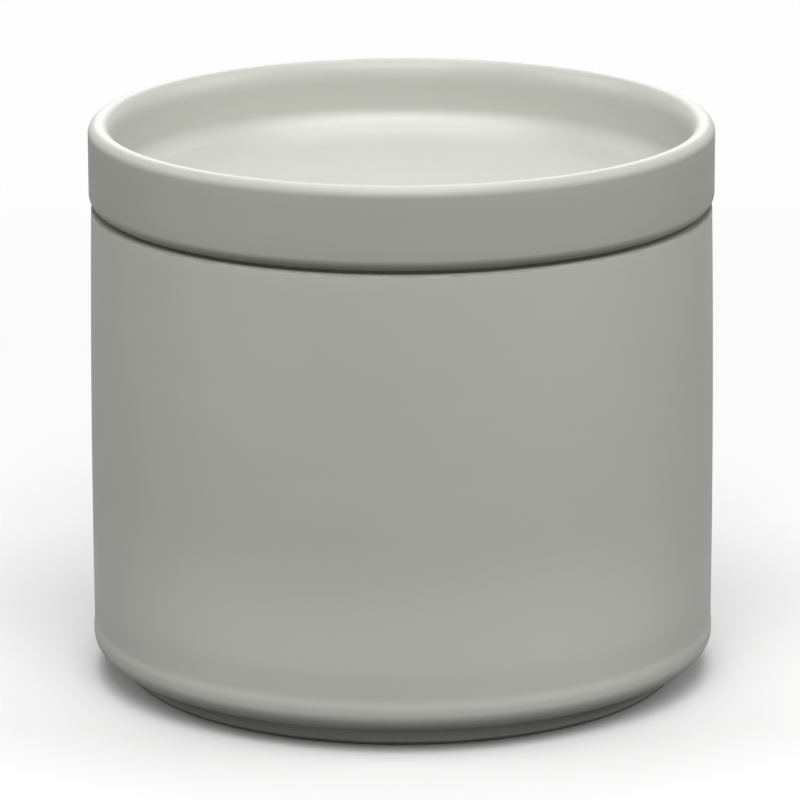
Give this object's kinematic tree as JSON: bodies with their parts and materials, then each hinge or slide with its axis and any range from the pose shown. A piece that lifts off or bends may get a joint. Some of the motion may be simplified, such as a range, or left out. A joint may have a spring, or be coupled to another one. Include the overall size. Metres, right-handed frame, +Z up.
{
  "type": "lidded ceramic box",
  "caption": "Round stoneware box with a drop-on lid: a straight-sided jar on a recessed foot ring, and a lid whose top is a shallow rounded tray.",
  "frame": {"origin": "centre of the foot ring's underside, on the surface that the box stands on", "axes": "+Z up along the box's axis of revolution; X and Y are any two square directions, because the box is round"},
  "size_m": [0.1002, 0.1002, 0.0905],
  "materials": {
    "jar_glaze": "satin-matt pale grey glaze over stoneware, bare clay on the foot ring and rim",
    "lid_glaze": "satin-matt pale grey glaze over stoneware, bare clay on the seat and flange"
  },
  "bodies": {
    "jar": {"jar": "jar_glaze"},
    "lid": {"lid": "lid_glaze"}
  },
  "joints": [
    {"name": "lid_lift", "type": "slide", "parent": "jar", "child": "lid", "axis": [0, 0, 1], "range_m": [0, 0.1]}
  ]
}
